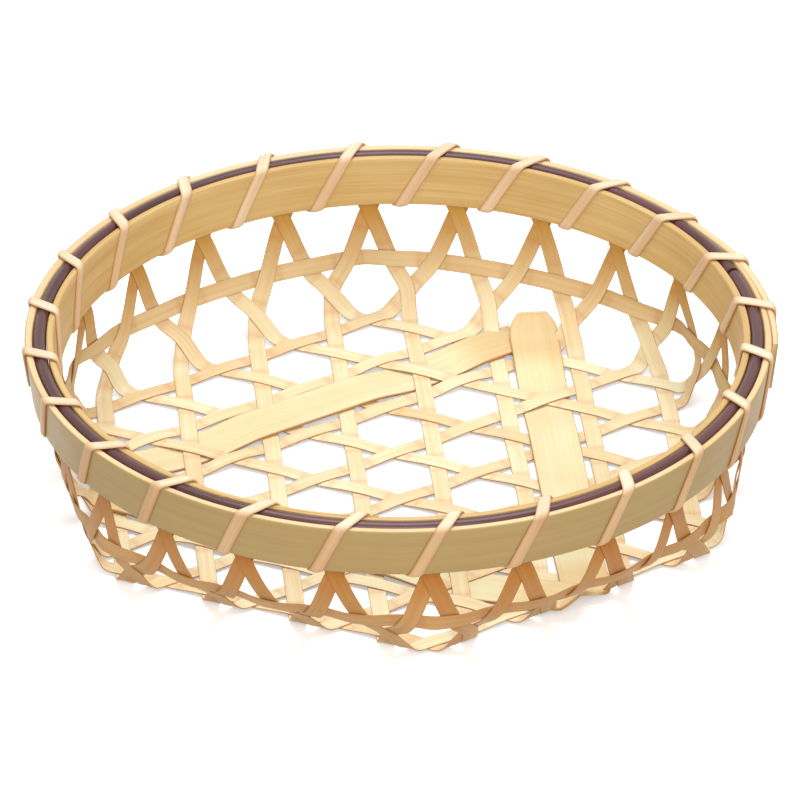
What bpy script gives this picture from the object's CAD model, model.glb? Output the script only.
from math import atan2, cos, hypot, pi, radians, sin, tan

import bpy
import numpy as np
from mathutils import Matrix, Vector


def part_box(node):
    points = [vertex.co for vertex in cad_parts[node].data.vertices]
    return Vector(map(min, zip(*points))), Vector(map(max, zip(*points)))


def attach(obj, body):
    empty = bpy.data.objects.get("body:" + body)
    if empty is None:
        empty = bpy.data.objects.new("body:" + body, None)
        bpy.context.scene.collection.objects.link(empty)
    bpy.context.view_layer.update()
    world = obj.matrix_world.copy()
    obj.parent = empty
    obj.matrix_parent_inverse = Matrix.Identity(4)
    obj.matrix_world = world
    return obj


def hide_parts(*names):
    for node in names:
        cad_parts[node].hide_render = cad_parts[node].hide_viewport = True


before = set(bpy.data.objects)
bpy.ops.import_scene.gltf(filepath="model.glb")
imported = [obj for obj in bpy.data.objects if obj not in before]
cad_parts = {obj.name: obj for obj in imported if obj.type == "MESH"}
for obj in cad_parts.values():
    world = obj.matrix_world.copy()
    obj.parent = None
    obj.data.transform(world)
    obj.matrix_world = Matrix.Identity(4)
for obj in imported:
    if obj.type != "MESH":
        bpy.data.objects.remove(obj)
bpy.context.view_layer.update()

# Shallow round bamboo basket in open hexagonal weave, with a rim of two hoops bound by a spiral
# lashing. Metres, +Z up. A turn counts sixths of a round from the first weaving direction, and a
# row counts the six-sided holes outwards from the one in the middle.


# Weaving strips
# Split bamboo, eight strips in each of three directions, each over one crossing and under the
# next. They lie flat in a six-cornered base, turn up at its edge and end between the two hoops.
SIXTH = pi / 3
WEAVE_TURN = radians(35)
STRIPS_EACH_WAY = 8
STRIP_WIDTH = 0.0055
STRIP_THICKNESS = 0.0005
CLEARANCE = 0.0001
LEVEL_STEP = STRIP_THICKNESS + CLEARANCE

RIM_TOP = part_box("inner_hoop")[1].z
HOOP_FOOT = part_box("inner_hoop")[0].z
RIM_RADIUS = 0.1146
RIM_FLARE = radians(6)

SLAT_THICKNESS = 0.0012
SLAT_OVER = (LEVEL_STEP + STRIP_THICKNESS + SLAT_THICKNESS) / 2 + CLEARANCE
SLAT_UNDER = (LEVEL_STEP - STRIP_THICKNESS - SLAT_THICKNESS) / 2 - CLEARANCE
SLAT_ROWS = 2
BASE_HEIGHT = SLAT_THICKNESS / 2 - SLAT_UNDER
BASE_STRETCH_SHARE = 0.08

WALL_SPREAD = 0.0094  # from a corner of the flat base out to the rim's middle, at the last crossing
CROSSING_DROP = 0.0038  # last crossing of the strips, below the hoops
END_TUCK = 0.0087  # strip ends, up between the hoops
FLAT_ROWS = 0.325  # from the base's edge row in to where it is flat
END_ROWS = 0.4  # from the last crossing to the strip ends
EDGE_HEIGHT_SHARE = 0.225
RING_HEIGHT_SHARE = 0.475
EDGE_RADIUS_SHARE = 0.62
RING_RADIUS_SHARE = 0.92

EDGE_ROW = STRIPS_EACH_WAY / 2
FLAT_ROW = EDGE_ROW - FLAT_ROWS
RING_ROW = EDGE_ROW + 1 / 2
CROSSING_ROW = EDGE_ROW + 1
END_ROW = CROSSING_ROW + END_ROWS


def rim_middle(height):
    """Radius of the middle of the rim at a height: a cone that leans out by the flare."""
    return RIM_RADIUS - (RIM_TOP - height) * tan(RIM_FLARE)


CROSSING_HEIGHT = HOOP_FOOT - CROSSING_DROP
END_HEIGHT = HOOP_FOOT + END_TUCK
RISE = CROSSING_HEIGHT - BASE_HEIGHT
FLAT_RADIUS = rim_middle(CROSSING_HEIGHT) - WALL_SPREAD
HOLE_SPACING = FLAT_RADIUS / FLAT_ROW
STRIP_SPACING = HOLE_SPACING * sin(SIXTH)
PROFILE_ROWS = (FLAT_ROW, EDGE_ROW, RING_ROW, CROSSING_ROW, END_ROW)
PROFILE_HEIGHTS = BASE_HEIGHT + np.array([0, EDGE_HEIGHT_SHARE, RING_HEIGHT_SHARE, 1, 0]) * RISE
PROFILE_HEIGHTS[-1] = END_HEIGHT
PROFILE_RADII = FLAT_RADIUS + np.array([0, EDGE_RADIUS_SHARE, RING_RADIUS_SHARE, 1, 0]) * WALL_SPREAD
PROFILE_RADII[-1] = rim_middle(END_HEIGHT)
NORMAL_ROWS = 0.05  # to either side, for the surface's normal
NORMAL_TURNS = 0.03


def smooth_through(knots, values, first_slope, at):
    """Cubic pieces through the knots, each with the slope of a parabola through it and its neighbours."""
    knots, values = np.array(knots), np.array(values)
    steps = np.diff(knots)
    slopes = np.diff(values) / steps
    mean = (slopes[:-1] * steps[1:] + slopes[1:] * steps[:-1]) / (steps[:-1] + steps[1:])
    tangents = np.concatenate([[first_slope], mean, slopes[-1:]])
    piece = np.clip(np.searchsorted(knots, at) - 1, 0, len(steps) - 1)
    step = steps[piece]
    u = (at - knots[piece]) / step
    inside = (
        values[piece] * (1 + 2 * u) * (1 - u) ** 2
        + values[piece + 1] * (3 - 2 * u) * u**2
        + step * tangents[piece] * u * (1 - u) ** 2
        - step * tangents[piece + 1] * (1 - u) * u**2
    )
    return np.where(at < knots[0], values[0] + first_slope * (at - knots[0]), inside)


def around(turn):
    """Unit vector in the direction of a turn, as x and y."""
    angle = WEAVE_TURN + SIXTH * turn
    return np.stack([np.cos(angle), np.sin(angle)], -1)


def basket_surface(turn, row):
    """Middle of the weave: a stretched hexagon times the radius of the row, at the height of the row.

    Up the wall the hexagon turns into a circle.
    """
    sixth = np.floor(turn)
    part = (turn - sixth)[..., None]
    hexagon = ((1 - part) * around(sixth) + part * around(sixth + 1)) * (1 + BASE_STRETCH_SHARE, 1)
    ease = np.clip((row - FLAT_ROW) / (CROSSING_ROW - FLAT_ROW), 0, 1)
    roundness = (ease**2 * (3 - 2 * ease))[..., None]
    radius = smooth_through(PROFILE_ROWS, PROFILE_RADII, HOLE_SPACING, row)[..., None]
    flat = radius * ((1 - roundness) * hexagon + roundness * around(turn))
    height = smooth_through(PROFILE_ROWS, PROFILE_HEIGHTS, 0, row)[..., None]
    return np.concatenate([flat, height], -1)


def unit(vectors):
    """The vectors at length 1."""
    return vectors / np.linalg.norm(vectors, axis=-1, keepdims=True)


def basket_normal(turn, row):
    """Cross product of the surface's steps up and round: up from the base, inwards from the wall."""
    outer = np.maximum(row, 1)
    up = basket_surface(turn, outer + NORMAL_ROWS) - basket_surface(turn, outer - NORMAL_ROWS)
    onward = basket_surface(turn + NORMAL_TURNS, outer) - basket_surface(turn - NORMAL_TURNS, outer)
    return unit(np.cross(up, onward))


def strip_place(direction, offset, along):
    """Turn and row of points on a straight line of the weave.

    The span is the line's distance from the middle, taken along the directions that cross it. The row
    is the larger of the span and the way along plus half the span, in holes. The turn leans from the
    direction by the span over the row, and in the wall by half a hole less for each further row.
    """
    side = np.sign(offset)
    span = np.abs(offset) / sin(SIXTH)
    row = np.maximum(span, np.abs(along) + span / 2) / HOLE_SPACING
    lean_base = span / (row * HOLE_SPACING)
    lean_wall = span / (EDGE_ROW * HOLE_SPACING) - (row - EDGE_ROW) / (2 * EDGE_ROW)
    lean = np.where(row < EDGE_ROW, lean_base, lean_wall)
    share = np.where(along > span / 2, lean, np.where(along < -span / 2, 3 - lean, 3 / 2 - along / span))
    return direction + side * share, row


def waver(at, wavelength, seed):
    """Unevenness of hand work, from -1 to 1: three sines of unlike length with seeded phases."""
    phases = np.random.default_rng(seed).uniform(0, 2 * pi, 3)
    return sum(np.sin(2 * pi * at / wavelength / k + p) for k, p in zip((1, 1.7, 2.9), phases)) / 3


def eased(values, count):
    """Running mean under a raised cosine, count stations to either side, with both ends carried on."""
    weights = 1 + np.cos(pi * np.arange(-count, count + 1) / (count + 1))
    before = 2 * values[:1] - values[count:0:-1]
    after = 2 * values[-1:] - values[-2 : -count - 2 : -1]
    padded = np.concatenate([before, values, after])
    shifted = [w * padded[k : k + len(values)] for k, w in enumerate(weights)]
    return sum(shifted) / weights.sum()


def direction_vector(direction):
    """Unit vector of a direction in the flat base, as a complex number, before the base is stretched."""
    return np.exp(1j * SIXTH * direction)


ROUNDING_POINTS = 4
SHARP_ANGLE = radians(50)


def band_outline(width, thickness, rounding, crown=0.0, columns=6):
    """Section of a band, anticlockwise: a rounded rectangle whose upper side falls by a parabola."""
    quarter = np.linspace(0, pi / 2, ROUNDING_POINTS)
    corner = rounding * np.stack([np.cos(quarter), np.sin(quarter)], -1)
    x, y = width / 2 - rounding, thickness / 2 - rounding
    across = np.linspace(-x, x, columns + 1)[1:-1]
    parts = (
        corner[::-1] * (1, -1) + (x, -y),
        corner + (x, y),
        np.stack([across[::-1], 0 * across + thickness / 2], -1),
        corner[::-1] * (-1, 1) + (-x, y),
        corner * (-1, -1) + (-x, -y),
        np.stack([across, 0 * across - thickness / 2], -1),
    )
    outline = np.concatenate(parts)
    above = outline[:, 1] > 0
    outline[above, 1] -= crown * (2 * outline[above, 0] / width) ** 2
    return outline


def cut_edge(outline, rounding):
    """How far a point of a band's outline is round to its narrow side, from 0 to 1 over the rounding."""
    past = np.abs(outline[:, 0]) - np.abs(outline[:, 0]).max() + rounding
    return np.clip(past / rounding, 0, 1)[None]


def widened(outline, factor):
    """The outline once for each station, its width times that station's factor."""
    return outline * np.stack([factor, 0 * factor + 1], -1)[:, None]


def put_in_place(node, grid, finish, slot, lead, **values):
    """Makes a piece as one closed mesh through a row of like outlines, in place of a node.

    The UV map "grain" holds metres along the piece, counted from its own lead, and metres round its
    outline. Every other value becomes an attribute of the mesh's points.
    """
    rows, columns = grid.shape[:2]
    number = np.arange(rows * columns).reshape(rows, columns)
    beyond = np.roll(number, -1, axis=1)
    sides = np.stack([number[:-1], beyond[:-1], beyond[1:], number[1:]], -1).reshape(-1, 4)
    mesh = bpy.data.meshes.new(node)
    ends = [number[0][::-1].tolist(), number[-1].tolist()]
    mesh.from_pydata(grid.reshape(-1, 3), [], sides.tolist() + ends)

    middle = grid.mean(axis=1)
    steps = np.linalg.norm(np.diff(middle, axis=0), axis=-1)
    length = lead + np.concatenate([[0], np.cumsum(steps)])
    half = grid[rows // 2]
    girth = np.concatenate([[0], np.cumsum(np.linalg.norm(np.roll(half, -1, axis=0) - half, axis=-1))])
    u = np.broadcast_to(length[:, None], (rows, columns + 1))
    v = np.broadcast_to(girth, (rows, columns + 1))
    uv = np.stack([u, v], -1)
    corners = np.stack([uv[:-1, :-1], uv[:-1, 1:], uv[1:, 1:], uv[1:, :-1]], 2).reshape(-1, 2)
    corners = np.concatenate([corners, uv[0, :-1][::-1], uv[-1, :-1]])
    mesh.uv_layers.new(name="grain").uv.foreach_set("vector", corners.astype(np.float32).ravel())
    for label, value in values.items():
        spread = np.broadcast_to(value, (rows, columns)).astype(np.float32).ravel()
        mesh.attributes.new(label, "FLOAT", "POINT").data.foreach_set("value", spread)
    mesh.shade_smooth()
    mesh.set_sharp_from_angle(angle=SHARP_ANGLE)
    mesh.materials.append(finish)
    piece = bpy.data.objects.new("made_" + node, mesh)
    bpy.context.scene.collection.objects.link(piece)
    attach(piece, "root")
    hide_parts(node)


def swept(path, up, outline):
    """Grid of an outline carried along a path: path + x * across + y * up, with across square to both."""
    along = unit(np.gradient(path, axis=0))
    across = unit(np.cross(up, along))
    upward = np.cross(along, across)
    return path[:, None] + outline[..., :1] * across[:, None] + outline[..., 1:] * upward[:, None]


def tone(red, green, blue):
    """A colour given in screen values from 0 to 255, as the linear colour that a shader takes."""
    screen = np.array([red, green, blue]) / 255
    linear = np.where(screen <= 0.04045, screen / 12.92, ((screen + 0.055) / 1.055) ** 2.4)
    return (*linear.tolist(), 1.0)


class Wire:
    """A value in a finish. Arithmetic on it adds Math nodes, and add() adds any other node."""

    def __init__(self, tree, socket):
        self.tree, self.socket = tree, socket

    def add(self, kind, inputs, output=0, **settings):
        """A node of that kind, its settings set first, then its inputs set or linked."""
        node = self.tree.nodes.new(kind)
        for name, value in settings.items():
            setattr(node, name, value)
        for name, value in inputs.items():
            if isinstance(value, Wire):
                self.tree.links.new(value.socket, node.inputs[name])
            else:
                node.inputs[name].default_value = value
        return Wire(self.tree, node.outputs[output])

    def maths(self, operation, first, second):
        """A Math node of that operation on two values."""
        return self.add("ShaderNodeMath", {0: first, 1: second}, operation=operation)

    def __add__(self, other):
        return self.maths("ADD", self, other)

    def __sub__(self, other):
        return self.maths("SUBTRACT", self, other)

    def __rsub__(self, other):
        return self.maths("SUBTRACT", other, self)

    def __mul__(self, other):
        return self.maths("MULTIPLY", self, other)

    __radd__, __rmul__ = __add__, __mul__

    def clamped(self):
        """The value held between 0 and 1."""
        return self.add("ShaderNodeClamp", {"Value": self})

    def blend(self, first, second, kind="MIX"):
        """The first colour where this value is 0 and the second where it is 1."""
        colours = {0: self, 6: first, 7: second}
        return self.add("ShaderNodeMix", colours, 2, data_type="RGBA", blend_type=kind)

    def noise(self, scale_along, scale_across, detail=2.0, roughness=0.5):
        """Noise at this UV point, from 0 to 1, with scales in waves for each metre along and across."""
        scales = {0: self, 1: (scale_along, scale_across, 1)}
        stretched = self.add("ShaderNodeVectorMath", scales, operation="MULTIPLY")
        inputs = {"Vector": stretched, "Scale": 1.0, "Detail": detail, "Roughness": roughness}
        return self.add("ShaderNodeTexNoise", inputs, noise_dimensions="2D")


FULLY_HIGH_SHARE = 1 / 1.6


def bamboo_finish(name, pale, deep, streaks=0.5, mottle=0.5, roughness=0.5, coat=0.0, skin=None, high=None):
    """Split bamboo, whose colour runs from pale to deep as its depth goes from 0 to 1.

    The depth is a middle value, plus fine fibres and broader streaks along the grain, times streaks,
    plus slow changes along the piece, through space and from piece to piece, times mottle. Skin holds
    the two colours of the side marked as skin. High is what the colour is multiplied by towards the
    rim, in full from FULLY_HIGH_SHARE of its height. Sides and ends marked as aged, creases beside
    crossings and cut edges are darker and warmer. Fibres and streaks also raise a bump.
    """
    made = bpy.data.materials.new(name)
    made.use_nodes = True
    shader = made.node_tree.nodes["Principled BSDF"]
    start = Wire(made.node_tree, None)
    grain = start.add("ShaderNodeUVMap", {}, uv_map="grain")
    place = start.add("ShaderNodeTexCoord", {}, "Object")

    fibre = grain.noise(45, 2600, 3, 0.6)
    streak = grain.noise(11, 620, 2)
    drift = grain.noise(26, 60, 2)
    own = grain.noise(2.2, 0, 0)
    cloud = start.add("ShaderNodeTexNoise", {"Vector": place, "Scale": 34.0, "Detail": 2.0})
    depth = 0.45 + (fibre - 0.5) * streaks * 1.1 + (streak - 0.5) * streaks * 1.6
    depth = depth + (drift - 0.5) * mottle * 1.2 + (cloud - 0.5) * mottle + (own - 0.5) * mottle * 1.4
    colour = depth.clamped().blend(pale, deep)
    if skin:
        outer = start.add("ShaderNodeAttribute", {}, "Fac", attribute_name="skin")
        colour = outer.blend(colour, (depth * 0.6 + 0.2).clamped().blend(*skin))
    if high:
        height = start.add("ShaderNodeSeparateXYZ", {0: place}, "Z")
        risen = (height * (1 / (FULLY_HIGH_SHARE * RIM_TOP))).clamped()
        colour = risen.blend(colour, high, "MULTIPLY")
    marks = (
        ("aged", 1.0, tone(240, 212, 186), "MULTIPLY"),
        ("crease", 0.3, tone(196, 120, 60), "MIX"),
        ("edge", 0.85, tone(182, 126, 68), "MIX"),
    )
    for label, strength, shade, kind in marks:
        mark = start.add("ShaderNodeAttribute", {}, "Fac", attribute_name=label)
        colour = (mark * strength).blend(colour, shade, kind)
    gloss = roughness + (fibre - 0.5) * 0.25 + (cloud - 0.5) * 0.2
    ridges = fibre * 0.6 + streak * 0.4
    relief = {"Strength": 0.35, "Distance": 0.00012, "Height": ridges}
    bump = start.add("ShaderNodeBump", relief, "Normal")

    for socket, value in (("Base Color", colour), ("Roughness", gloss), ("Normal", bump)):
        made.node_tree.links.new(value.socket, shader.inputs[socket])
    shader.inputs["Specular IOR Level"].default_value = 0.22
    shader.inputs["Coat Weight"].default_value = coat
    shader.inputs["Coat Roughness"].default_value = 0.3
    return made


STRIP_ROUNDING = 0.0002
STRIP_CROWN = 0.00005
CREASE_FADE = 0.0026

strip_outline = band_outline(STRIP_WIDTH, STRIP_THICKNESS, STRIP_ROUNDING, STRIP_CROWN)
strip_edge = cut_edge(strip_outline, STRIP_ROUNDING)
strip_outside = (strip_outline[:, 1] < 0)[None]


def crossing_reach(own_width, other_width):
    """Half the length of a strip that another hides where they cross at 60 degrees."""
    return (own_width * cos(SIXTH) + other_width) / 2 / sin(SIXTH)


def near_edges(at, middles, reach):
    """Nearness to the edge of what crosses: 1 at the edge, falling by a square to 0 over the fade."""
    distance = np.abs(np.abs(at[:, None] - middles) - reach).min(axis=1)
    return np.clip(1 - distance / CREASE_FADE, 0, 1) ** 2


def creases(along, middles, reach, is_under):
    """Marks beside what crosses a strip: on its upper side where it goes under, else on its lower."""
    upper = near_edges(along, middles[is_under], reach)[:, None]
    lower = near_edges(along, middles[~is_under], reach)[:, None]
    return np.where(strip_outline[:, 1] > 0, upper, lower)


SLAT_DIRECTIONS = (1, 3, 5)
SLAT_DIP_ROWS = SLAT_ROWS - 1 / 2


def lifted_crossings():
    """Crossings that lie over a slat where it dips, and those on either side that it lifts too."""
    lifted = []
    for direction in SLAT_DIRECTIONS:
        for rows in (-SLAT_DIP_ROWS, SLAT_DIP_ROWS):
            dip = (rows * HOLE_SPACING - 1j * SLAT_ROWS * STRIP_SPACING) * direction_vector(direction)
            beside = HOLE_SPACING / 2 * direction_vector(direction + 2)
            lifted += [dip, dip + beside, dip - beside]
    return np.array(lifted)


STATION = 0.0008  # from one outline to the next along a strip
LEVEL_TRIM = 0.0006  # a strip starts to leave its level this far inside a crossing's edge
LIFT_EASE = 4  # stations to either side
PATH_EASE = 3
WANDER = 0.00025
WANDER_LENGTH = 0.06
TWIST = 0.03
TWIST_LENGTH = 0.05
WIDTH_CHANGE_SHARE = 0.04
WIDTH_CHANGE_LENGTH = 0.09
GRAIN_STEP = 0.7  # from one strip's lead to the next one's, so that no two have the same grain

strip_finish = bamboo_finish(
    "split bamboo", tone(244, 236, 200), tone(227, 196, 146), mottle=0.6, high=tone(211, 170, 104)
)
reach = crossing_reach(STRIP_WIDTH, STRIP_WIDTH)
plateau = reach - LEVEL_TRIM
lifted = lifted_crossings()

for family, letter in enumerate("abc"):
    for number in range(1, STRIPS_EACH_WAY + 1):
        seed = 10 * family + number
        offset = (number - STRIPS_EACH_WAY / 2 - 1 / 2) * STRIP_SPACING
        span = abs(offset) / sin(SIXTH)
        last = round(2 * CROSSING_ROW - span / HOLE_SPACING - 1 / 2)
        crossings = np.arange(-1 - last, last + 1)
        middles = (crossings / 2 + 1 / 4) * HOLE_SPACING
        place = (middles + 1j * offset) * direction_vector(family)
        near = (np.abs(place[:, None] - lifted) < CLEARANCE).any(axis=1)
        level = (crossings - number) % 2 + (near & (np.abs(middles) < EDGE_ROW * HOLE_SPACING)) - 1 / 2

        end = END_ROW * HOLE_SPACING - span / 2
        along = np.linspace(-end, end, round(2 * end / STATION))
        knots = np.stack([middles - plateau, middles + plateau], -1).ravel()
        lift = LEVEL_STEP * eased(np.interp(along, knots, np.repeat(level, 2)), LIFT_EASE)
        wander = WANDER * waver(along, WANDER_LENGTH, seed)
        turn, row = strip_place(family, offset + wander, along)
        normal = basket_normal(turn, row)
        path = eased(basket_surface(turn, row) + lift[:, None] * normal, PATH_EASE)
        across = unit(np.cross(np.gradient(path, axis=0), normal))
        twist = TWIST * waver(along, TWIST_LENGTH, seed + 50)[:, None] * across
        width_change = WIDTH_CHANGE_SHARE * waver(along, WIDTH_CHANGE_LENGTH, seed + 100)
        grid = swept(path, eased(normal, PATH_EASE) + twist, widened(strip_outline, 1 + width_change))
        crease = creases(along, middles, reach, crossings % 2 == number % 2)
        put_in_place(
            f"weave_{letter}_{number}", grid, strip_finish, "split_bamboo", GRAIN_STEP * seed,
            crease=crease, edge=strip_edge, aged=strip_outside,
        )


# Wall ring
# One level strip woven round the wall, inside the strips that slant one way and outside the others.
# Its ends meet behind a crossing.
RING_FIRST_CROSSING = 14  # where its ends meet
RING_JOINT = 0.0012
RING_LIFT_EASE = 3
RING_PATH_EASE = 4
RING_WANDER_ROWS = 0.008
RING_WANDER_TURNS = 1.5
RING_WIDTH_TURNS = 2.2

ring_turn_length = SIXTH * PROFILE_RADII[PROFILE_ROWS.index(RING_ROW)]
crossing = np.arange(6 * STRIPS_EACH_WAY + 1)
middles = (RING_FIRST_CROSSING + crossing + 1 / 2) / STRIPS_EACH_WAY
first = middles[0] + RING_JOINT / 2 / ring_turn_length
final = middles[-1] - RING_JOINT / 2 / ring_turn_length
turn = np.linspace(first, final, round((final - first) * ring_turn_length / STATION))
knots = np.stack([middles - plateau / ring_turn_length, middles + plateau / ring_turn_length], -1).ravel()
lift = 2 * LEVEL_STEP * eased(np.interp(turn, knots, np.repeat(crossing % 2 - 1 / 2, 2)), RING_LIFT_EASE)
row = RING_ROW + RING_WANDER_ROWS * waver(turn, RING_WANDER_TURNS, 7)
normal = basket_normal(turn, row)
path = eased(basket_surface(turn, row) + lift[:, None] * normal, RING_PATH_EASE)
outline = widened(strip_outline, 1 + WIDTH_CHANGE_SHARE * waver(turn, RING_WIDTH_TURNS, 8))
grid = swept(path, eased(normal, RING_PATH_EASE), outline)
crease = creases(turn * ring_turn_length, middles * ring_turn_length, reach, crossing % 2 == 0)
put_in_place(
    "wall_ring", grid, strip_finish, "split_bamboo", 31.0,
    crease=crease, edge=strip_edge, aged=strip_outside,
)


# Base slats
# Three broad slats that stiffen the base, laid through the weave in a triangle. Each lies over two
# crossings, under one on either side, and its rounded head lies on the next slat's tail.
SLAT_SIDE_GAP = 0.0014  # to the strips that run beside it
SLAT_WIDTH = STRIP_SPACING - STRIP_WIDTH - 2 * SLAT_SIDE_GAP
SLAT_TAIL_ROWS = 2.8  # from a slat's middle to its tail, and to its head
SLAT_HEAD_ROWS = 3.0
SLAT_RISE_SHARE = 0.8  # of the weave's rise towards the wall, which a stiff slat only partly follows
SLAT_ROUNDING = 0.0004
SLAT_CROWN = 0.00015
SLAT_PARED_LENGTH = 0.0062  # over which its ends are rounded, and taken off each side there
SLAT_PARED_WIDTH = 0.0033
SLAT_PARED_POINTS = 9
SLAT_STATIONS = 230
SLAT_EASE = 8
SLAT_WIDTH_CHANGE_SHARE = 0.012
SLAT_WIDTH_CHANGE_LENGTH = 0.11
SLAT_AGED_SHARE = 0.6
SLAT_AGED_ROWS = 2.6 / 3
SLAT_AGED_FADE_ROWS = 1 / 3

slat_finish = bamboo_finish("planed slat bamboo", tone(237, 233, 196), tone(224, 202, 150), 0.35, 0.5, 0.48)
crossings = (np.arange(2 * (SLAT_ROWS + 1)) - SLAT_ROWS - 1 / 2) * HOLE_SPACING
slat_reach = crossing_reach(SLAT_WIDTH, STRIP_WIDTH)
places = np.stack([crossings - slat_reach, crossings + slat_reach], -1).ravel()
under = np.isclose(np.abs(crossings), SLAT_DIP_ROWS * HOLE_SPACING)
levels = np.repeat(np.where(under, SLAT_UNDER, SLAT_OVER), 2)
places[-1] = (SLAT_ROWS + 1) * HOLE_SPACING - crossing_reach(SLAT_WIDTH, SLAT_WIDTH)
levels[-1] = SLAT_OVER + SLAT_THICKNESS + 2 * CLEARANCE

# Stations along a slat, closer together where its ends are pared, and rounded so that none is doubled.
tail, head = SLAT_TAIL_ROWS * HOLE_SPACING, SLAT_HEAD_ROWS * HOLE_SPACING
along = np.linspace(-tail, head, SLAT_STATIONS)
pared = np.linspace(0, SLAT_PARED_LENGTH, SLAT_PARED_POINTS)
along = np.unique(np.concatenate([along, pared - tail, head - pared]).round(5))
from_end = np.minimum(head - along, along + tail)
half_width = SLAT_WIDTH / 2 - SLAT_PARED_WIDTH * np.clip(1 - from_end / SLAT_PARED_LENGTH, 0, 1) ** 2
slat_outline = band_outline(SLAT_WIDTH, SLAT_THICKNESS, SLAT_ROUNDING, SLAT_CROWN, columns=14)
slat_edge = cut_edge(slat_outline, SLAT_ROUNDING)
slat_underside = slat_outline[:, 1] < 0
aged_end = np.clip((SLAT_AGED_ROWS - from_end / HOLE_SPACING) / SLAT_AGED_FADE_ROWS, 0, 1)
slat_aged = np.maximum(SLAT_AGED_SHARE * aged_end[:, None], slat_underside)
offset = -SLAT_ROWS * STRIP_SPACING

for number, direction in enumerate(SLAT_DIRECTIONS, 1):
    weave = basket_surface(*strip_place(direction, offset, along))
    start, end = basket_surface(*strip_place(direction, offset, HOLE_SPACING * np.array([-1, 1])))
    onward = unit(end - start)
    path = start + ((weave - start) @ onward)[:, None] * onward
    rise = SLAT_RISE_SHARE * (weave[:, 2] - BASE_HEIGHT)
    path[:, 2] = BASE_HEIGHT + eased(rise + np.interp(along, places, levels), SLAT_EASE)
    width_change = SLAT_WIDTH_CHANGE_SHARE * waver(along, SLAT_WIDTH_CHANGE_LENGTH, number)
    outline = widened(slat_outline, half_width / (SLAT_WIDTH / 2) * (1 + width_change))
    grid = swept(path, np.broadcast_to((0, 0, 1), path.shape), outline)
    put_in_place(
        f"base_slat_{number}", grid, slat_finish, "slat_bamboo", 40.0 + number,
        edge=slat_edge, aged=slat_aged,
    )


# Inner hoop
# Planed bamboo, bent round inside the strip ends. Its two ends are pared to long slants that lie on
# each other.
CORE_DIAMETER = 0.0044
HALF_GAP = CORE_DIAMETER / 2 + CLEARANCE
INNER_THICKNESS = 0.0022
INNER_LAP_START = radians(-118)
INNER_LAP = radians(25)
INNER_TIP_SHARE = 0.16
HOOP_ROUNDING = 0.0007
HOOP_ROUNDING_SHARE = 0.35  # of the thickness, which a rounding doesn't pass
HOOP_STATIONS = 480

# The section that every place of a hoop is fitted to, with its depth counted from its own middle.
SECTION_THICKNESS = 0.0040
SECTION_ROUNDING = 0.0005
SECTION_FLAT = SECTION_THICKNESS / 2 - SECTION_ROUNDING
hoop_height = RIM_TOP - HOOP_FOOT
hoop_section = band_outline(hoop_height, SECTION_THICKNESS, SECTION_ROUNDING, columns=10)


def round_the_rim(angle, radius, level):
    """Points at a radius and a level, a row of them for each angle round the basket."""
    level = np.broadcast_to(level, radius.shape)
    return np.stack([radius * np.cos(angle)[:, None], radius * np.sin(angle)[:, None], level], -1)


def hoop_grid(angle, inner, outer):
    """Grid of a hoop: a rounded rectangle between two depths, from foot to top, on the rim's cone.

    The depth counts outwards from the middle of the rim. Each point keeps its share of the section's
    flat stretch, and the section's roundings take the size that the thickness leaves them.
    """
    thickness = (outer - inner)[:, None]
    rounding = np.minimum(HOOP_ROUNDING, HOOP_ROUNDING_SHARE * thickness)
    within = np.clip(hoop_section[:, 1], -SECTION_FLAT, SECTION_FLAT)
    share = (within / SECTION_FLAT + 1) / 2
    past = (hoop_section[:, 1] - within) / SECTION_ROUNDING
    depth = inner[:, None] + rounding + share * (thickness - 2 * rounding) + past * rounding
    level = HOOP_FOOT + hoop_height / 2 + hoop_section[:, 0]
    return round_the_rim(angle, rim_middle(level) + depth, level)


inner_finish = bamboo_finish("planed hoop bamboo", tone(217, 186, 129), tone(196, 155, 91), 0.7, 0.5, 0.42)
first, final = INNER_LAP_START, INNER_LAP_START + 2 * pi + INNER_LAP
angle = np.linspace(first, final, HOOP_STATIONS)
outside = np.full(len(angle), -HALF_GAP)
inside = outside - INNER_THICKNESS
inner_tip = INNER_TIP_SHARE * INNER_THICKNESS
pared = INNER_THICKNESS - CLEARANCE - 2 * inner_tip
start_share = np.clip((angle - first) / INNER_LAP, 0, 1)
end_share = np.clip((final - angle) / INNER_LAP, 0, 1)
inside = np.where(start_share < 1, outside - inner_tip - start_share * pared, inside)
outside = np.where(end_share < 1, inside + inner_tip + end_share * pared, outside)
put_in_place("inner_hoop", hoop_grid(angle, inside, outside), inner_finish, "hoop_bamboo", 50.0)


# Outer hoop
# Bamboo with its hard skin left on outside, bent round the strip ends. Its first end lies outside its
# last one, and shows as a step.
OUTER_THICKNESS = 0.0024
OUTER_LAP_START = radians(-4)
OUTER_LAP = radians(27)
OUTER_LAP_EASE = radians(10)
OUTER_TOP_SHARE = 0.75  # of the thickness, left at the end that lies outside
OUTER_TIP_SHARE = 0.4  # the same, at the end that lies under it
SKIN_FADE = 0.0004


def outer_lap_depths(angle):
    """Inner and outer face of the outer hoop, from its first end, which lies over its last.

    It stands off by the pared end under it, and past that end comes back in by a smooth step.
    """
    share = np.clip((angle - OUTER_LAP_START) / OUTER_LAP, 0, 1)
    under = OUTER_THICKNESS * (1 + share * (OUTER_TIP_SHARE - 1))
    past = np.clip((angle - OUTER_LAP_START - OUTER_LAP) / OUTER_LAP_EASE, 0, 1)
    step = (under + CLEARANCE) * (1 - past**2 * (3 - 2 * past))
    own = OUTER_THICKNESS * (OUTER_TOP_SHARE + share * (1 - OUTER_TOP_SHARE))
    return HALF_GAP + step, HALF_GAP + step + own


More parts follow.
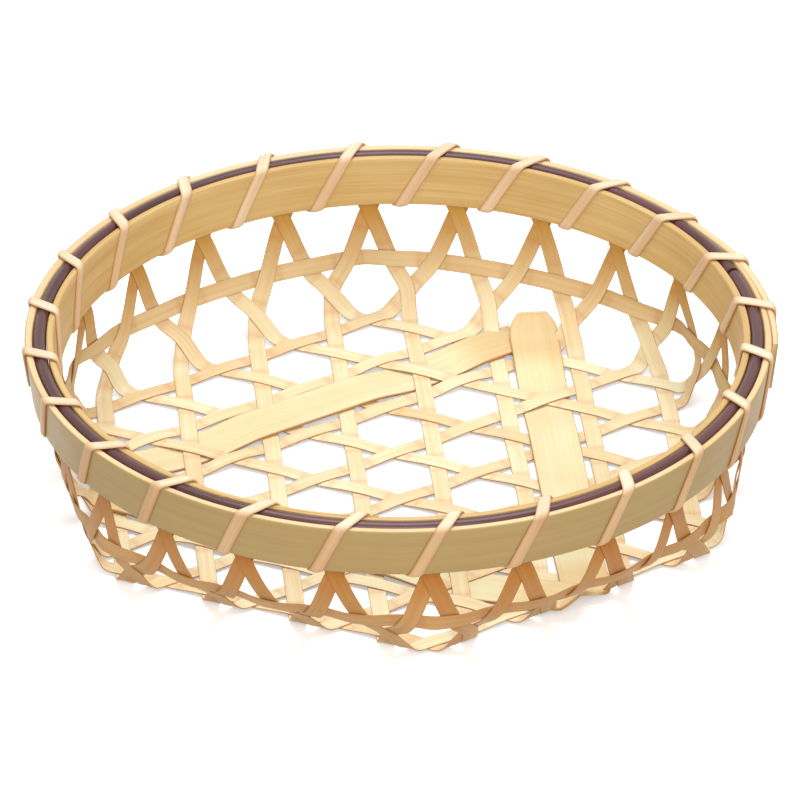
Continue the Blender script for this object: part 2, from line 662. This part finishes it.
def outer_face(angle):
    """Depth of the outermost face of the rim at an angle, laps and all."""
    return outer_lap_depths((angle - OUTER_LAP_START) % (2 * pi) + OUTER_LAP_START)[1]


skin_finish = bamboo_finish(
    "bamboo with skin", tone(246, 218, 174), tone(224, 180, 126), 0.5, 0.5, 0.42,
    skin=(tone(190, 162, 110), tone(169, 138, 84)),
)
first, final = OUTER_LAP_START, OUTER_LAP_START + 2 * pi + OUTER_LAP
angle = np.linspace(first, final, HOOP_STATIONS)
inner, outer = outer_lap_depths(angle)
tip_share = np.clip((angle - first - 2 * pi) / OUTER_LAP, 0, 1)
tip = HALF_GAP + OUTER_THICKNESS * (1 + tip_share * (OUTER_TIP_SHARE - 1))
outer = np.where(angle > first + 2 * pi, tip, outer)
skin = np.clip((hoop_section[:, 1] - SECTION_FLAT) / SKIN_FADE, 0, 1)[None]
put_in_place("outer_hoop", hoop_grid(angle, inner, outer), skin_finish, "bamboo_skin", 60.0, skin=skin)


# Rim core
# Dark cane that fills the top of the rim between the two hoops. Its ends are butted beside
# the outer hoop's lap.
CORE_PROUD = 0.0005  # above the hoops
CORE_START = radians(19)
CORE_JOINT = 0.0008
CORE_STATIONS = 600
CORE_SIDES = 20
CORE_UNEVEN_SHARE = 0.015
CORE_UNEVEN_TURN = 0.3

core_height = RIM_TOP + CORE_PROUD - CORE_DIAMETER / 2
core_radius = rim_middle(core_height)
gap = CORE_JOINT / core_radius
angle = CORE_START + np.linspace(gap, 2 * pi - gap, CORE_STATIONS)
turn = np.linspace(0, 2 * pi, CORE_SIDES + 1)[:-1]
thick = CORE_DIAMETER / 2 * (1 - CORE_UNEVEN_SHARE * (1 - waver(angle, CORE_UNEVEN_TURN, 3)))[:, None]
grid = round_the_rim(angle, core_radius + thick * np.cos(turn), core_height + thick * np.sin(turn))
core_finish = bamboo_finish("dark cane", tone(100, 58, 56), tone(56, 29, 28), 0.7, 0.5, 0.3, coat=0.45)
put_in_place("rim_core", grid, core_finish, "dark_cane", 70.0)


# Rim lashing
# One flat strip wound round both hoops, once between every two crossings under the rim. Both ends
# are tucked up between the hoops.
LASH_WIDTH = 0.0040
LASH_THICKNESS = 0.00095
LASH_CROWN = 0.00045
LASH_CORNER = 0.00145  # radius of the strip's middle round a corner of the rim
LASH_TUCK = 0.0050  # its two ends, up between the hoops
LASH_FIRST_TURN = -1
LASH_CORNER_SHARES = (-0.17, 0.10, 0.28, 0.64)  # of a turn: outer foot, outer top, inner top, inner foot
LASH_TURNS = 3 * STRIPS_EACH_WAY
LASH_ROUNDING = 0.00022
LASH_EDGE_WIDTH = 0.0007
LASH_EDGE_SHARE = 0.7
LASH_STATION = 0.0011
LASH_LEAST_STEP = 0.00001
LASH_WIDTH_CHANGE_SHARE = 0.05
LASH_WIDTH_CHANGE_LENGTH = 0.05
LASH_INNER_AGE_SHARE = 0.6
CORNER_POINTS = 7


def lash_points(angle, side, up, facing):
    """Depth and height of the strip's middle as it rounds a corner of the rim.

    That is the centre of the corner, moved by the corner's radius the way that the strip faces.
    """
    face = np.where(side > 0, outer_face(angle), HALF_GAP + INNER_THICKNESS)
    edge = np.where(up > 0, RIM_TOP + CORE_PROUD, HOOP_FOOT)
    room = CLEARANCE + LASH_THICKNESS / 2 - LASH_CORNER
    depth = side * (face + room) + LASH_CORNER * np.cos(facing)
    return depth, edge + up * room + LASH_CORNER * np.sin(facing)


# Every corner of every turn is a row of points. The facing is the angle at which the strip's outer
# side looks: 0 is outwards and a quarter turn is upwards.
pitch = 2 * pi / LASH_TURNS
steps = np.linspace(0, 1, CORNER_POINTS)
corner_share = LASH_CORNER / hoop_height * (steps - 1 / 2) / 2
share = (np.array(LASH_CORNER_SHARES)[:, None] + corner_share).ravel()
number = LASH_FIRST_TURN + np.arange(LASH_TURNS)
angle = (WEAVE_TURN + (number[:, None] + share) * pitch).ravel()
side = np.tile(np.repeat([1, 1, -1, -1], CORNER_POINTS), LASH_TURNS)
up = np.tile(np.repeat([-1, 1, 1, -1], CORNER_POINTS), LASH_TURNS)
facing = pi / 2 * (np.arange(4)[:, None] - 1 + steps).ravel()
facing = (facing + 2 * pi * np.arange(LASH_TURNS)[:, None]).ravel()
depth, height = lash_points(angle, side, up, facing)

# Before the first corner and after the last, the ends turn up between the hoops.
turn_back = (CLEARANCE + LASH_THICKNESS) / RIM_RADIUS
tail_depth = HALF_GAP - CLEARANCE - LASH_THICKNESS / 2
tail_height = HOOP_FOOT + LASH_TUCK
beyond = facing[-1]
before = angle[0] - turn_back * np.array([2, 2, 1])
after = angle[-1] + turn_back * np.array([1, 2, 2])
angle = np.concatenate([before, angle, after])
depth = np.concatenate([[tail_depth, tail_depth, HALF_GAP], depth, [-HALF_GAP, -tail_depth, -tail_depth]])
height = np.concatenate([[tail_height, HOOP_FOOT, height[0]], height, [height[-1], HOOP_FOOT, tail_height]])
facing = np.concatenate([[-pi, -pi, -pi / 2], facing, [beyond, beyond + pi / 2, beyond + pi / 2]])

travel = np.hypot(np.hypot(np.diff(depth), np.diff(height)), RIM_RADIUS * np.diff(angle))
travel = np.concatenate([[0], np.cumsum(travel)])
fine = np.unique(np.concatenate([travel, np.arange(0, travel[-1], LASH_STATION)]))
fine = fine[np.concatenate([[True], np.diff(fine) > LASH_LEAST_STEP])]
angle, depth, height, facing = (np.interp(fine, travel, v) for v in (angle, depth, height, facing))
outwards = np.stack([np.cos(angle), np.sin(angle), 0 * angle], -1)
onwards = np.stack([-np.sin(angle), np.cos(angle), 0 * angle], -1)
upwards = np.array([0, 0, 1])
path = (rim_middle(height) + depth)[:, None] * outwards + height[:, None] * upwards
outer_side = np.cos(facing)[:, None] * outwards + np.sin(facing)[:, None] * upwards
slant = (unit(np.gradient(path, axis=0)) * onwards).sum(axis=1, keepdims=True)
to_side = -onwards / np.sqrt(1 - slant**2)
outline = band_outline(LASH_WIDTH, LASH_THICKNESS, LASH_ROUNDING, LASH_CROWN, columns=8)
lash_edge = LASH_EDGE_SHARE * cut_edge(outline, LASH_EDGE_WIDTH)
width_change = LASH_WIDTH_CHANGE_SHARE * waver(fine, LASH_WIDTH_CHANGE_LENGTH, 5)
outline = widened(outline, 1 + width_change)
grid = path[:, None] + outline[..., :1] * to_side[:, None] + outline[..., 1:] * outer_side[:, None]
lash_finish = bamboo_finish("lashing bamboo", tone(240, 229, 203), tone(218, 188, 150), 0.5, 0.6, 0.48)
lash_aged = np.maximum(np.cos(facing), -LASH_INNER_AGE_SHARE * np.cos(facing))[:, None]
put_in_place("rim_lashing", grid, lash_finish, "lashing_bamboo", 80.0, edge=lash_edge, aged=lash_aged)


# Floor, lamps and camera
# A plain pale floor that the camera sees as white, with the basket's shadow, soft light from above,
# and the photograph's long lens from the front, a third of a right angle up.
FLOOR_SIZE = 6.0
WORLD_LIGHT = 0.5
CAMERA_ELEVATION = radians(31.7)
CAMERA_DISTANCE = 2.419
CAMERA_LENS = 339.3
CAMERA_AIM = (0.0005, 0, 0.0300)


def seen_directly(start):
    """1 for what the camera sees, plainly, mirrored or through glass, and 0 for what only lights."""
    rays = ("Is Camera Ray", "Is Glossy Ray", "Is Transmission Ray")
    camera_ray, glossy, through = (start.add("ShaderNodeLightPath", {}, ray) for ray in rays)
    return (camera_ray + glossy + through).clamped()


floor_mesh = bpy.data.meshes.new("floor")
half = FLOOR_SIZE / 2
floor_corners = [(-half, -half, 0), (half, -half, 0), (half, half, 0), (-half, half, 0)]
floor_mesh.from_pydata(floor_corners, [], [(0, 1, 2, 3)])
floor = bpy.data.objects.new("floor", floor_mesh)
bpy.context.scene.collection.objects.link(floor)
floor_finish = bpy.data.materials.new("pale floor")
floor_finish.use_nodes = True
start = Wire(floor_finish.node_tree, None)
seen = seen_directly(start)
floor_shader = floor_finish.node_tree.nodes["Principled BSDF"]
floor_colour = seen.blend((0.45, 0.44, 0.42, 1), (1, 1, 1, 1))
floor_finish.node_tree.links.new(floor_colour.socket, floor_shader.inputs["Base Color"])
floor_shader.inputs["Roughness"].default_value = 0.9
floor_shader.inputs["Emission Strength"].default_value = 1.0
glow = seen.blend((0, 0, 0, 1), (0.3, 0.3, 0.3, 1))
floor_finish.node_tree.links.new(glow.socket, floor_shader.inputs["Emission Color"])
floor_shader.inputs["Specular IOR Level"].default_value = 0.0
floor_mesh.materials.append(floor_finish)

world = bpy.data.worlds.new("studio")
bpy.context.scene.world = world
world.use_nodes = True
sky = world.node_tree.nodes["Background"]
start = Wire(world.node_tree, None)
seen = seen_directly(start)
world.node_tree.links.new((WORLD_LIGHT + seen * (1 - WORLD_LIGHT)).socket, sky.inputs["Strength"])
sky.inputs["Color"].default_value = (1, 1, 1, 1)


def lamp(name, size, power, place):
    """A square area lamp at a place, turned towards the basket."""
    light = bpy.data.lights.new(name, "AREA")
    light.size, light.energy = size, power
    holder = bpy.data.objects.new(name, light)
    x, y, z = place
    holder.location = place
    holder.rotation_euler = (atan2(hypot(x, y), z), 0, atan2(x, -y))
    bpy.context.scene.collection.objects.link(holder)


lamp("top lamp", size=1.2, power=20, place=(0, 0.3, 1.7))
lamp("front lamp", size=1.0, power=20, place=(0.1, -1.6, 1.0))

back = np.array([0, -cos(CAMERA_ELEVATION), sin(CAMERA_ELEVATION)])
camera_data = bpy.data.cameras.new("camera")
camera_data.lens = CAMERA_LENS
camera_data.sensor_width = 36
camera_data.clip_end = 50
camera = bpy.data.objects.new("camera", camera_data)
camera.location = np.array(CAMERA_AIM) + CAMERA_DISTANCE * back
camera.rotation_euler = (pi / 2 - CAMERA_ELEVATION, 0, 0)
bpy.context.scene.collection.objects.link(camera)
bpy.context.scene.camera = camera
bpy.context.scene.view_settings.view_transform = "Standard"
